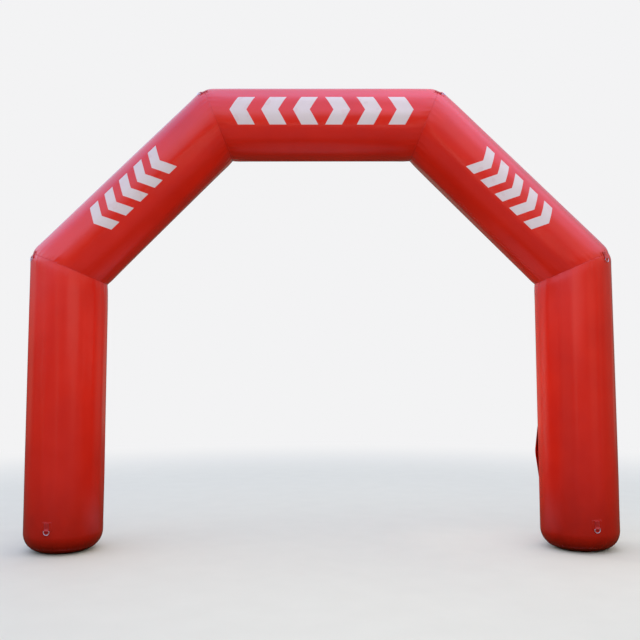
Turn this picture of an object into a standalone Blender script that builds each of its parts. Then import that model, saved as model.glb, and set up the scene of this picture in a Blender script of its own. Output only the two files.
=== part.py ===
"""Inflatable event arch: a closed cloth tube on five straight runs, blown up tight, standing on two feet.

The cloth is cut as five tube panels that meet at mitre seams, and a round base panel closes each leg.
Webbing loops with D-rings are sewn over the four bends and above the feet, at the front and the back,
and a flap is sewn to the right leg. Air fills the tube, so each panel is the closed form that it takes.

Metres. +Z is up, +X runs along the span and -Y is the front. The origin lies on the ground, midway
between the feet.
"""

import math
from collections import namedtuple

import bmesh
import bpy
from mathutils import Matrix, Vector

# The arch
SPAN = 6.00  # over the outer sides of both legs
LEG_RADIUS = 0.385
BEAM_RADIUS = 0.372  # the shoulders taper from the legs to this
KNEE_HEIGHT = 2.85  # where the centreline bends from a leg into its shoulder
SHOULDER_RISE = 1.525  # height that a shoulder gains
BEND = math.radians(45)  # turn of the centreline at each of the four seams
LEG_X = SPAN / 2 - LEG_RADIUS
CROWN_X = LEG_X - SHOULDER_RISE / math.tan(BEND)
BEAM_HEIGHT = KNEE_HEIGHT + SHOULDER_RISE
HALF_BEND = BEND / 2

# How air pressure shapes the cloth
CORNER_ROUND = 0.27  # radius of the outer side of a bend
SEAM_DRAW = 0.004  # how far a seam's tape holds the cloth in
SEAM_REACH = 0.05  # distance over which the cloth swells out again
FOOT_RISE = 0.19  # height over which a foot rounds under
FOOT_INSET = 0.19  # and how far in it rounds
BASE_SEAM = math.radians(45)  # place of the base panel's seam on that curve

# Cloth, webbing and rings
GAP = 0.0003  # between pieces that touch
PATCH_WIDTH = 0.10
PATCH_CLOTH = 0.0012
CURVED_GAP = 0.0006  # between strips sewn on the tube's curve, so that their flat faces clear each other
WEBBING_WIDTH = 0.048
WEBBING_THICKNESS = 0.0016
WIRE_RADIUS = 0.003
BAR_HEIGHT = 0.0082  # from the tube's cloth to the middle of a ring's bar
RING_WIDTH = 0.050  # inside, along the bar
RING_STRAIGHT = 0.008  # from the bar to the start of the round end
TIE_ANGLE = math.radians(37.5)  # from the outermost line of a bend towards the front or back
RIGHT_KNEE_TIE_ANGLE = math.radians(52)  # the ties of the right knee sit further round
FOOT_TIE_TURN = math.radians(6)  # from a leg's front and back lines towards its outer side
FOOT_TIE_HEIGHT = 0.25  # of the bar of a foot's ring
CORNER_TIE_DROP = 0.042  # from a seam down to the bar of a bend's ring
SEWN_STATIONS = (-0.075, -0.062, -0.042, -0.022)  # along a sewn strap, from the bar; the seam is at -0.042
PATCH_STATIONS = (-0.087, *SEWN_STATIONS, 0.003)  # a patch reaches past both ends of the stitching

# Flap on the inner side of the right leg
FLAP_HEIGHT = 0.52
FLAP_WIDTH = 0.15
FLAP_MIDDLE = 0.95  # height of its middle
FLAP_AZIMUTH = math.radians(44)  # of its sewn edge, from straight inwards towards the back
FLAP_BULGE = 0.033  # how far its free edge stands off at the middle
FLAP_CLOTH = 0.0015
FLAP_PEAK_ROUND = 0.1  # share of its half height over which the bulge's peak is rounded
FLAP_CURL = 1.5  # power by which it stands off more towards its free edge

# Mesh density
SEGMENTS = 48  # round a tube
SEAM_STATIONS = (0.0, 0.02, 0.045, 0.075, 0.11, 0.16)  # distances from a seam
FOOT_STEPS = 5
WIRE_ROUND_STEPS = 12
LOOP_STEPS = 6  # of webbing round a bar
FLAP_ROWS = 12
FLAP_COLUMNS = 8
SHARP = math.radians(30)  # faces that meet at a larger angle keep a sharp edge

# Colours are linear, with roughness and metallic
RED_CLOTH = ("red_coated_cloth", (0.50, 0.024, 0.014), 0.38, 0.0)
RED_WEBBING = ("red_webbing", (0.36, 0.020, 0.016), 0.75, 0.0)
RING_STEEL = ("ring_steel", (0.62, 0.62, 0.64), 0.30, 1.0)

FRONT = Vector((0, -1, 0))
UP = Vector((0, 0, 1))

# A tube panel. Its centreline runs from start to end, and outward points away from the arch's middle.
Tube = namedtuple("Tube", "start end start_radius end_radius outward")


def clear_scene():
    for obj in list(bpy.data.objects):
        bpy.data.objects.remove(obj, do_unlink=True)


def material(kind):
    name, colour, roughness, metallic = kind
    found = bpy.data.materials.get(name)
    if found:
        return found
    made = bpy.data.materials.new(name)
    made.use_nodes = True
    shader = made.node_tree.nodes["Principled BSDF"]
    shader.inputs["Base Color"].default_value = (*colour, 1.0)
    shader.inputs["Roughness"].default_value = roughness
    shader.inputs["Metallic"].default_value = metallic
    made.diffuse_color = (*colour, 1.0)
    return made


def add_object(name, data, kind):
    obj = bpy.data.objects.new(name, data)
    obj.data.materials.append(material(kind))
    bpy.data.collections["inflatable_arch"].objects.link(obj)
    return obj


def loft(name, rings, kind):
    """A closed solid through rings of equally many points, with a flat face over each end."""
    bm = bmesh.new()
    rows = [[bm.verts.new(point) for point in ring] for ring in rings]
    for row, following in zip(rows, rows[1:]):
        for i in range(len(row)):
            bm.faces.new((row[i - 1], row[i], following[i], following[i - 1]))
    bm.faces.new(rows[0])
    bm.faces.new(rows[-1])
    bmesh.ops.recalc_face_normals(bm, faces=bm.faces)
    mesh = bpy.data.meshes.new(name)
    bm.to_mesh(mesh)
    bm.free()
    mesh.shade_smooth()
    mesh.set_sharp_from_angle(angle=SHARP)
    add_object(name, mesh, kind)


def arch_point(side, place):
    """A bend or foot of the centreline. side is -1 on the left and 1 on the right."""
    x, z = {
        "foot": (LEG_X, 0.0),
        "knee": (LEG_X, KNEE_HEIGHT),
        "crown": (CROWN_X, BEAM_HEIGHT),
    }[place]
    return Vector((side * x, 0, z))


def leg_tube(side):
    foot, knee = arch_point(side, "foot"), arch_point(side, "knee")
    return Tube(foot, knee, LEG_RADIUS, LEG_RADIUS, Vector((side, 0, 0)))


def shoulder_tube(side):
    outward = Vector((side * math.sin(BEND), 0, math.cos(BEND)))
    return Tube(arch_point(side, "knee"), arch_point(side, "crown"), LEG_RADIUS, BEAM_RADIUS, outward)


def beam_tube():
    return Tube(arch_point(-1, "crown"), arch_point(1, "crown"), BEAM_RADIUS, BEAM_RADIUS, UP)


def crease_angle(angle):
    """Angle between the two tubes' surfaces where they meet at a seam, on the outer side of a bend."""
    if math.cos(angle) <= 0:
        return 0.0
    shared = math.cos(angle) ** 2 * math.cos(BEND) + math.sin(angle) ** 2
    return math.acos(min(1.0, shared))


def seam_inset(angle, along):
    """How far the cloth lies inside the plain tube at a distance from a seam: its rounding and its tape."""
    tangent = CORNER_ROUND * math.tan(crease_angle(angle) / 2)
    short = max(0.0, tangent - along)
    rounding = CORNER_ROUND - math.sqrt(CORNER_ROUND**2 - short**2)
    return rounding + SEAM_DRAW * math.exp(-((along / SEAM_REACH) ** 2))


def seam_point(tube, at_end, angle, along):
    """A point of a tube's cloth, at an angle from its outermost line and a distance from its mitre seam."""
    axis = (tube.end - tube.start).normalized()
    corner, inwards = (tube.end, -axis) if at_end else (tube.start, axis)
    share = along / (tube.end - tube.start).length
    near, far = (tube.end_radius, tube.start_radius) if at_end else (tube.start_radius, tube.end_radius)
    radius = near + (far - near) * share - seam_inset(angle, along)
    lead = along - radius * math.cos(angle) * math.tan(HALF_BEND)
    radial = tube.outward * math.cos(angle) + FRONT * math.sin(angle)
    return corner + radial * radius + inwards * lead


def turn(step):
    return 2 * math.pi * step / SEGMENTS


def seam_rings(tube, at_end):
    """Rings from the seam inwards. The first one lies half a gap inside the mitre plane."""
    rings = []
    for along in SEAM_STATIONS:
        rings.append([seam_point(tube, at_end, turn(i), max(along, GAP / 2)) for i in range(SEGMENTS)])
    return rings


def foot_profile(slope):
    """(radius, height) on a foot's outer curve. Its slope is 0 on the ground and upright at the side."""
    flat_radius = LEG_RADIUS - FOOT_INSET
    return flat_radius + FOOT_INSET * math.sin(slope), FOOT_RISE * (1 - math.cos(slope))


def foot_slopes(first, last):
    return [first + (last - first) * i / FOOT_STEPS for i in range(FOOT_STEPS + 1)]


def foot_rings(tube):
    """Rings of a leg's rounded lower end, from the base panel's seam up."""
    rings = []
    for slope in foot_slopes(BASE_SEAM, math.pi / 2):
        radius, height = foot_profile(slope)
        lift = GAP if slope == BASE_SEAM else 0.0
        ring = []
        for i in range(SEGMENTS):
            radial = tube.outward * math.cos(turn(i)) + FRONT * math.sin(turn(i))
            ring.append(tube.start + radial * radius + UP * (height + lift))
        rings.append(ring)
    return rings


def build_leg(name, side):
    tube = leg_tube(side)
    loft(name, foot_rings(tube) + seam_rings(tube, True)[::-1], RED_CLOTH)


def build_mitred_tube(name, tube):
    loft(name, seam_rings(tube, False) + seam_rings(tube, True)[::-1], RED_CLOTH)


def build_base_panel(name, side):
    """The round panel under a leg, a turned dish that stands on a flat disc."""
    slopes = foot_slopes(BASE_SEAM, 0.0)
    profile = [(0.0, foot_profile(BASE_SEAM)[1])] + [foot_profile(slope) for slope in slopes] + [(0.0, 0.0)]
    bm = bmesh.new()
    points = [bm.verts.new((radius, 0, height)) for radius, height in profile]
    for upper, lower in zip(points, points[1:]):
        bm.edges.new((upper, lower))
    mesh = bpy.data.meshes.new(name)
    bm.to_mesh(mesh)
    bm.free()
    panel = add_object(name, mesh, RED_CLOTH)
    panel.location = arch_point(side, "foot")
    screw = panel.modifiers.new("turn", "SCREW")
    screw.steps = screw.render_steps = SEGMENTS
    screw.use_merge_vertices = True
    screw.merge_threshold = 0.0001


# A place where a ring is tied on. surface(s, w) is the cloth's point at a distance s down from the ring's
# bar and w across. All three directions are unit vectors at the bar.
Tie = namedtuple("Tie", "surface origin across down normal")


def tie_on(cloth, outward):
    """Squares up a cloth's own skewed directions, down the tube and along its seam, around a ring's bar."""
    step = 0.01
    down = (cloth(step, 0) - cloth(-step, 0)) / (2 * step)
    along_seam = (cloth(0, step) - cloth(0, -step)) / (2 * step)
    lean = along_seam.dot(down) / down.length_squared
    across = along_seam - down * lean

    def surface(s, w):
        share = w / across.length
        return cloth(s / down.length - lean * share, share)

    normal = across.cross(down).normalized()
    if normal.dot(outward) < 0:
        normal.negate()
    return Tie(surface, cloth(0, 0), across.normalized(), down.normalized(), normal)


def foot_tie(side, face):
    """On the front (face -1) or back (face 1) of a leg, above its rounded foot."""

    def cloth(s, w):
        angle = w / LEG_RADIUS + side * FOOT_TIE_TURN
        spot = Vector((math.sin(angle), face * math.cos(angle), 0)) * LEG_RADIUS
        return arch_point(side, "foot") + spot + UP * (FOOT_TIE_HEIGHT - s)

    return tie_on(cloth, FRONT * -face)


def corner_tie(upper, upper_at_end, lower, face, tie_angle=TIE_ANGLE):
    """Over the seam between an upper and a lower tube and square to it, with the bar just below it."""
    middle = -face * tie_angle
    slope = math.atan(math.tan(HALF_BEND) * math.sin(middle))  # the seam's fall, on the lower tube laid out flat

    def cloth(s, w):
        below = s + CORNER_TIE_DROP
        beside = middle + w * math.cos(slope) / lower.end_radius
        angle = beside - abs(below) * math.sin(slope) / lower.end_radius
        fall = lower.end_radius * math.tan(HALF_BEND) * (math.cos(angle) - math.cos(beside))
        along = abs(below) * math.cos(slope) + fall
        if below >= 0:
            return seam_point(lower, True, angle, along)
        return seam_point(upper, upper_at_end, angle, along)

    return tie_on(cloth, lower.outward)


def strip_ring(tie, widths, half, s, height, tilt=0.0, level=False):
    """A cross-section of a sewn strip. tilt turns its outer side, and level keeps it straight across."""
    ring = []
    for side, order in ((1, widths), (-1, widths[::-1])):
        along, up = s - side * half * math.sin(tilt), height + side * half * math.cos(tilt)
        for w in order:
            base = tie.origin + tie.across * w + tie.down * along if level else tie.surface(along, w)
            ring.append(base + tie.normal * up)
    return ring


def build_patch(name, tie):
    """A rectangle of cloth under the webbing, which follows the tube."""
    edge, inner = PATCH_WIDTH / 2, WEBBING_WIDTH / 2
    widths = (-edge, -inner, 0.0, inner, edge)
    half = PATCH_CLOTH / 2
    loft(name, [strip_ring(tie, widths, half, s, CURVED_GAP + half) for s in PATCH_STATIONS], RED_CLOTH)


def build_strap(name, tie):
    """Webbing folded round the ring's bar, with both plies sewn down over the patch."""
    widths = (-WEBBING_WIDTH / 2, 0.0, WEBBING_WIDTH / 2)
    half = WEBBING_THICKNESS / 2
    loop = WIRE_RADIUS + GAP + half
    lower = CURVED_GAP + PATCH_CLOTH + CURVED_GAP + half
    upper = lower + WEBBING_THICKNESS + CURVED_GAP
    rings = [strip_ring(tie, widths, half, s, lower) for s in SEWN_STATIONS]
    for i in range(LOOP_STEPS + 1):
        angle = math.pi * i / LOOP_STEPS
        s, height = loop * math.sin(angle), BAR_HEIGHT - loop * math.cos(angle)
        rings.append(strip_ring(tie, widths, half, s, height, tilt=angle, level=True))
    rings += [strip_ring(tie, widths, half, s, upper, tilt=math.pi) for s in SEWN_STATIONS[::-1]]
    loft(name, rings, RED_WEBBING)


def ring_outline():
    """(across, down) points along the middle of a D-ring's wire: the bar, then the round end."""
    reach = RING_WIDTH / 2 + WIRE_RADIUS
    points = [(-reach, WIRE_RADIUS), (-RING_WIDTH / 2, 0.0), (RING_WIDTH / 2, 0.0), (reach, WIRE_RADIUS)]
    for i in range(WIRE_ROUND_STEPS + 1):
        angle = math.pi * i / WIRE_ROUND_STEPS
        points.append((reach * math.cos(angle), RING_STRAIGHT + reach * math.sin(angle)))
    return points


def build_ring(name, tie):
    """A D-ring bent from wire, its bar held in the webbing and its round end hanging down."""
    points = ring_outline()
    curve = bpy.data.curves.new(name, "CURVE")
    curve.dimensions = "3D"
    curve.bevel_depth = WIRE_RADIUS
    curve.bevel_resolution = 1
    spline = curve.splines.new("POLY")
    spline.use_cyclic_u = True
    spline.points.add(len(points) - 1)
    for point, (across, down) in zip(spline.points, points):
        point.co = (across, down, 0, 1)
    ring = add_object(name, curve, RING_STEEL)
    facing = tie.across.cross(tie.down)
    turned = Matrix((tie.across, tie.down, facing)).transposed().to_4x4()
    ring.matrix_world = Matrix.Translation(tie.origin + tie.normal * BAR_HEIGHT) @ turned


def build_tie(label, tie):
    build_patch(f"patch_{label}", tie)
    build_strap(f"strap_{label}", tie)
    build_ring(f"ring_{label}", tie)


def build_ties():
    for side, side_name in ((-1, "left"), (1, "right")):
        leg, shoulder = leg_tube(side), shoulder_tube(side)
        knee_angle = RIGHT_KNEE_TIE_ANGLE if side > 0 else TIE_ANGLE
        for face, face_name in ((-1, "front"), (1, "back")):
            where = f"{side_name}_{face_name}"
            build_tie(f"foot_{where}", foot_tie(side, face))
            build_tie(f"knee_{where}", corner_tie(shoulder, False, leg, face, knee_angle))
            build_tie(f"crown_{where}", corner_tie(beam_tube(), side > 0, shoulder, face))


def flap_point(level, share):
    """A point of the flap's underside, for level from -1 to 1 up it and share from sewn to free edge."""
    peak = 1 - math.hypot(level, FLAP_PEAK_ROUND) / math.hypot(1, FLAP_PEAK_ROUND)
    azimuth = FLAP_AZIMUTH - share * FLAP_WIDTH / LEG_RADIUS
    radius = LEG_RADIUS + GAP + FLAP_BULGE * peak * share**FLAP_CURL
    spot = Vector((-math.cos(azimuth), math.sin(azimuth), 0)) * radius
    return arch_point(1, "foot") + spot + UP * (FLAP_MIDDLE + level * FLAP_HEIGHT / 2)


def build_flap(name):
    """A strip of cloth sewn down along its back edge and at both ends, whose free edge stands off."""
    bm = bmesh.new()
    grid = []
    for i in range(FLAP_ROWS + 1):
        level = 2 * i / FLAP_ROWS - 1
        grid.append([bm.verts.new(flap_point(level, j / FLAP_COLUMNS)) for j in range(FLAP_COLUMNS + 1)])
    for row, following in zip(grid, grid[1:]):
        for j in range(FLAP_COLUMNS):
            bm.faces.new((row[j], row[j + 1], following[j + 1], following[j]))
    mesh = bpy.data.meshes.new(name)
    bm.to_mesh(mesh)
    bm.free()
    mesh.shade_smooth()
    flap = add_object(name, mesh, RED_CLOTH)
    solidify = flap.modifiers.new("cloth", "SOLIDIFY")
    solidify.thickness = FLAP_CLOTH
    solidify.offset = 1


def build():
    clear_scene()
    collection = bpy.data.collections.new("inflatable_arch")
    bpy.context.scene.collection.children.link(collection)
    for side, side_name in ((-1, "left"), (1, "right")):
        build_leg(f"leg_{side_name}", side)
        build_base_panel(f"base_{side_name}", side)
        build_mitred_tube(f"shoulder_{side_name}", shoulder_tube(side))
    build_mitred_tube("beam", beam_tube())
    build_ties()
    build_flap("flap_right")


build()
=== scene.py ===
# %% [markdown]
# # An inflatable event arch
# This script dresses a plain solid model of an air-filled cloth arch. The solids hold the right sizes, and
# the cells below give each one the surface of the real thing: cloth that puckers along its seams, webbing
# loops, bent wire rings, thread and a printed pattern.

# %% Tools
import math
from collections import namedtuple

import bpy
import numpy as np
from mathutils import Matrix, Vector


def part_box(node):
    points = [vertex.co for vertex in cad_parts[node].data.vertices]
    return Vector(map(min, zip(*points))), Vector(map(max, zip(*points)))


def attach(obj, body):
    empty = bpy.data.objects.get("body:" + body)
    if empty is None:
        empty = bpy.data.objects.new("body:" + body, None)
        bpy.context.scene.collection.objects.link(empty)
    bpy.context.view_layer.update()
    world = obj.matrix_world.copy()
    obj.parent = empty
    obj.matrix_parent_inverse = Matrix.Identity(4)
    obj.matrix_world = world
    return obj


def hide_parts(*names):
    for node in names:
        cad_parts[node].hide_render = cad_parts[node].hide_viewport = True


# %% Load the solids
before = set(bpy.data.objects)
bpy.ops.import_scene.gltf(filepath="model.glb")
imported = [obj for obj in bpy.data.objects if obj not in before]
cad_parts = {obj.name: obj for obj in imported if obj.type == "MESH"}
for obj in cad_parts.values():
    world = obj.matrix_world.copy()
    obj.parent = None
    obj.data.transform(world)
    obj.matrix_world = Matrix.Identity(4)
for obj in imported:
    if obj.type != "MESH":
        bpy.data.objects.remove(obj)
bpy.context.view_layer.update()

# %% [markdown]
# ## Camera
# A standing person looks slightly up at the arch from about eight metres. The lens and the height come
# from the way the tubes taper and from where the feet meet the ground, so the camera is level but for a
# small upward pitch. It is made first, so that each later cell can be judged through it.

# %% Camera
CAMERA_PLACE = Vector((-0.084, -7.839, 1.691))
CAMERA_PITCH = 0.0794  # radians above level
CAMERA_YAW = 0.0084  # radians to the right
CAMERA_ROLL = -0.0023
LENS_MM = 42.7  # on a sensor 36 mm wide

camera_data = bpy.data.cameras.new("camera")
camera_data.lens = LENS_MM
camera_data.sensor_width = 36
camera = bpy.data.objects.new("camera", camera_data)
bpy.context.scene.collection.objects.link(camera)
sight = Vector((math.sin(CAMERA_YAW) * math.cos(CAMERA_PITCH),
                math.cos(CAMERA_YAW) * math.cos(CAMERA_PITCH),
                math.sin(CAMERA_PITCH)))
facing = sight.to_track_quat("-Z", "Y").to_matrix().to_4x4() @ Matrix.Rotation(CAMERA_ROLL, 4, "Z")
camera.matrix_world = Matrix.Translation(CAMERA_PLACE) @ facing
bpy.context.scene.camera = camera
print("camera at", tuple(CAMERA_PLACE))

# %% [markdown]
# ## Sizes
# The arch is a bent tube: two legs, two shoulders at 45 degrees and a level beam. These are the same
# driving sizes as the solids have. The radii and the legs' place are read from the solids' own boxes, and
# are printed.

# %% Sizes
SIDES = {"left": -1, "right": 1}
FACES = {"front": -1, "back": 1}
LEG_RADIUS = (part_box("leg_left")[1].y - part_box("leg_left")[0].y) / 2
BEAM_RADIUS = (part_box("beam")[1].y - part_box("beam")[0].y) / 2
LEG_X = (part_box("base_right")[0].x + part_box("base_right")[1].x) / 2
KNEE_HEIGHT = 2.85
SHOULDER_RISE = 1.525
CROWN_X = LEG_X - SHOULDER_RISE
BEAM_HEIGHT = KNEE_HEIGHT + SHOULDER_RISE
BEND = math.radians(45)
MITRE = math.tan(BEND / 2)
CORNER_ROUND = 0.27
SEAM_DRAW = 0.004
SEAM_REACH = 0.05
FOOT_RISE = 0.19
FOOT_INSET = 0.19
BASE_SEAM = math.radians(45)  # slope of a foot's curve at the base panel's seam
BASE_SEAM_HEIGHT = FOOT_RISE * (1 - math.cos(BASE_SEAM))
GAP = 0.0003
print("leg radius", round(LEG_RADIUS, 4), "beam radius", round(BEAM_RADIUS, 4), "leg x", round(LEG_X, 4))

# %% [markdown]
# ## Meshes from grids
# Each surface here is a function of two parameters, worked out for a whole grid of points at once with
# numpy. The helpers below turn such a grid into a mesh. They join the grid's points into faces, close the
# ends of a tube, and give a sheet of cloth its thickness.

# %% Grid to mesh
def build_mesh(name, points, faces, uvs):
    """Makes a mesh object. If the faces point inwards, so that the volume is negative, they are turned."""
    solid = bpy.data.meshes.new(name)
    solid.from_pydata(points.reshape(-1, 3).tolist(), [], faces)
    layer = solid.uv_layers.new(name="cloth")
    layer.data.foreach_set("uv", np.asarray(uvs, dtype=np.float32).ravel())
    solid.shade_smooth()
    if signed_volume(solid) < 0:
        solid.flip_normals()
    solid.update()
    made = bpy.data.objects.new(name, solid)
    bpy.context.scene.collection.objects.link(made)
    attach(made, "root")
    return made


def signed_volume(solid):
    """Sum over triangles of a . (b x c) / 6, which is positive when the faces point outwards."""
    solid.calc_loop_triangles()
    corners = np.empty(len(solid.vertices) * 3)
    solid.vertices.foreach_get("co", corners)
    triangles = np.empty(len(solid.loop_triangles) * 3, dtype=np.int64)
    solid.loop_triangles.foreach_get("vertices", triangles)
    a, b, c = corners.reshape(-1, 3)[triangles.reshape(-1, 3)].transpose(1, 0, 2)
    return float(np.einsum("ij,ij->", a, np.cross(b, c)) / 6)


def grid_faces(rows, columns, wrap=False, wrap_rows=False):
    """Corner numbers of each quad of a grid of points. With wrap the last column joins the first."""
    last_row, last_column = rows - (not wrap_rows), columns - (not wrap)
    row, column = np.meshgrid(np.arange(last_row), np.arange(last_column), indexing="ij")
    above, beside = (row + 1) % rows, (column + 1) % columns
    quads = [row * columns + column, row * columns + beside,
             above * columns + beside, above * columns + column]
    return np.stack(quads, axis=-1).reshape(-1, 4)


def tube_mesh(name, points, uv):
    """A closed tube through rings of points. uv has one column more than points, for the join."""
    rows, columns = points.shape[:2]
    quads = grid_faces(rows, columns, wrap=True)
    faces = quads.tolist() + [list(range(columns))[::-1], list(range((rows - 1) * columns, rows * columns))]
    wide = grid_faces(rows, columns + 1)
    uvs = np.concatenate([uv.reshape(-1, 2)[wide].reshape(-1, 2), uv[0, -2::-1], uv[-1, :-1]])
    return build_mesh(name, points, faces, uvs)


def sheet_mesh(name, middle, normals, thickness, uv):
    """A sheet of cloth: its middle surface moved half a thickness each way along its normals, and a rim."""
    rows, columns = middle.shape[:2]
    top, bottom = middle + normals * thickness / 2, middle - normals * thickness / 2
    quads = grid_faces(rows, columns)
    count = rows * columns
    number = np.arange(count).reshape(rows, columns)
    rim = np.concatenate([number[0, :-1], number[:-1, -1], number[-1, :0:-1], number[:0:-1, 0]])
    ahead = np.roll(rim, -1)
    sides = np.stack([rim, rim + count, ahead + count, ahead], axis=-1)
    faces = np.concatenate([quads, quads[:, ::-1] + count, sides])
    flat = np.concatenate([uv.reshape(-1, 2), uv.reshape(-1, 2)])
    return build_mesh(name, np.stack([top, bottom]), faces.tolist(), flat[faces].reshape(-1, 2))


# %% [markdown]
# ## How the cloth sits
# Air presses the cloth into round tubes. Three things disturb them, and each is one function below. The
# outer side of a bend can't hold a sharp corner, so it is rounded there. Each sewn seam is shorter than
# the cloth around it, so it draws the tube in and gathers it into puckers. And the tube is cut from flat
# cloth with hand-fed seams, so it is never quite round: slow waves run along it, which show as soft
# streaks of light.

# %% Seams, puckers and waves
Tube = namedtuple("Tube", "start axis length radii outward seams seed")  # seams: one number each, or None
FRONT = np.array((0.0, -1.0, 0.0))
SEAM_WELT = 0.0004  # depth of the crease at a seam
SEAM_WELT_REACH = 0.005
PUCKER_HEIGHT = 0.0042
PUCKER_REACH = 0.034  # distance from the seam at which puckers are highest
PUCKER_RIDGES = ((31, 0.45), (43, 0.35), (58, 0.20))  # ridges round a tube, and their share of the height
PUCKER_EVERYWHERE = 0.2
PUCKER_SIDES = ((0.0, 0.7, 0.75), (math.pi, 0.3, 0.6))  # place round a bend, extra height, width
TIE_WIDTH = 0.17  # radians each way over which a patch holds the puckers flat
GATHER_HEIGHT = 0.0022
GATHER_REACH = 0.022
GATHER_RIDGES = ((37, 0.5), (52, 0.5))
WAVE_COUNTS = np.array((4, 7, 9, 12, 15, 19))  # waves round a tube
WAVE_HEIGHTS = np.array((0.0022, 0.0016, 0.0014, 0.0011, 0.0008, 0.0005))
WAVE_START = 0.3  # height on a leg at which the waves begin
WAVE_RISE = 0.4  # and over which they grow
SEAM_CALM = 0.15  # distance over which a seam stills the waves
# Angle of each seam's ties from the outermost line. Seams 0 and 2 are at the knees, 3 and 5 at the crowns.
TIE_ANGLES = {seam: math.radians(degrees) for seam, degrees in ((0, 37.5), (2, 52), (3, 37.5), (5, 37.5))}


def tube_between(start, end, radii, outward, seams, seed):
    start, end = np.array(start, dtype=float), np.array(end, dtype=float)
    length = np.linalg.norm(end - start)
    return Tube(start, (end - start) / length, length, radii, np.array(outward, dtype=float), seams, seed)


def leg_tube(side):
    return tube_between((side * LEG_X, 0, 0), (side * LEG_X, 0, KNEE_HEIGHT), (LEG_RADIUS, LEG_RADIUS),
                        (side, 0, 0), (None, 1 + side), 10 + side)


def shoulder_tube(side):
    outward = (side * math.sin(BEND), 0, math.cos(BEND))
    return tube_between((side * LEG_X, 0, KNEE_HEIGHT), (side * CROWN_X, 0, BEAM_HEIGHT),
                        (LEG_RADIUS, BEAM_RADIUS), outward, (1 + side, 4 + side), 20 + side)


def beam_tube():
    return tube_between((-CROWN_X, 0, BEAM_HEIGHT), (CROWN_X, 0, BEAM_HEIGHT), (BEAM_RADIUS, BEAM_RADIUS),
                        (0, 0, 1), (3, 5), 30)


def corner_inset(angle, along):
    """Rounding of a bend: a circle of CORNER_ROUND that touches both tubes, seen in the plane across the
    seam. The crease angle between the tubes is acos(cos^2 a cos 45 + sin^2 a) on the outer half. The tape
    adds a soft valley, draw x exp(-(along / reach)^2)."""
    outer = np.clip(np.cos(angle), 0, None)
    crease = np.arccos(np.clip(1 - outer**2 * (1 - math.cos(BEND)), -1, 1))
    short = np.clip(CORNER_ROUND * np.tan(crease / 2) - along, 0, None)
    rounding = CORNER_ROUND - np.sqrt(CORNER_ROUND**2 - short**2)
    return rounding + SEAM_DRAW * np.exp(-((along / SEAM_REACH) ** 2))


def hump(along, reach):
    """x exp(1 - x) for x = along / reach: 0 at 0, 1 at the reach, and fading beyond."""
    return along / reach * np.exp(1 - along / reach)


def puckers(angle, along, seed):
    """Short ridges across a seam: a few cosines round the tube, none on the seam itself, highest at
    PUCKER_REACH and fading beyond. They are strongest on the outer and inner sides of a bend, and the
    stiff patches under the tie points hold them flat."""
    random = np.random.default_rng(seed)
    ridges = 0.0
    for count, weight in PUCKER_RIDGES:
        phase = random.uniform(0, 2 * math.pi)
        bunching = 1.5 * np.cos(3 * angle + random.uniform(0, 6))
        ridges = ridges + weight * np.cos(count * angle + phase + bunching)
    side = PUCKER_EVERYWHERE
    for place, extra, width in PUCKER_SIDES:
        side = side + extra * np.exp(-((angle_from(angle, place) / width) ** 2))
    for place in (TIE_ANGLES[seed], -TIE_ANGLES[seed]):
        side = side * (1 - np.exp(-((angle_from(angle, place) / TIE_WIDTH) ** 4)))
    return PUCKER_HEIGHT * ridges * side * hump(along, PUCKER_REACH)


def angle_from(angle, place):
    """The difference of two angles, brought to between -pi and pi."""
    return (angle - place + math.pi) % (2 * math.pi) - math.pi


def waves(angle, along, seed):
    """Uneven roundness: cosines of several counts round the tube, which drift slowly as they run along."""
    random = np.random.default_rng(seed)
    total = 0.0
    for count, height in zip(WAVE_COUNTS, WAVE_HEIGHTS):
        drift = random.uniform(-0.5, 0.5) * along
        drift = drift + 0.5 * np.sin(random.uniform(0.8, 2.0) * along + random.uniform(0, 6))
        height = height * random.uniform(0.6, 1.2)
        total = total + height * np.cos(count * angle + random.uniform(0, 6) + drift)
    return total


def foot_gathers(angle, distance):
    """Small ridges beside the base panel's seam, like the puckers of a bend but lower and all round."""
    random = np.random.default_rng(3)
    ridges = sum(weight * np.cos(count * angle + random.uniform(0, 2 * math.pi) + 2 * np.cos(4 * angle))
                 for count, weight in GATHER_RIDGES)
    return GATHER_HEIGHT * ridges * hump(distance, GATHER_REACH)


def foot_inset(height):
    """A foot's rounding: a quarter of an ellipse from the floor's flat disc up to the straight leg."""
    low = np.clip(1 - height / FOOT_RISE, 0, 1)
    return FOOT_INSET * (1 - np.sqrt(1 - low**2))


# %% The cloth of a tube
def run_length(tube, angle):
    """Length of the tube's line at an angle, from seam to seam. It is longest on the outer side."""
    gain = sum(radius for radius, seam in zip(tube.radii, tube.seams) if seam is not None)
    return tube.length + gain * MITRE * np.cos(angle)


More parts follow.
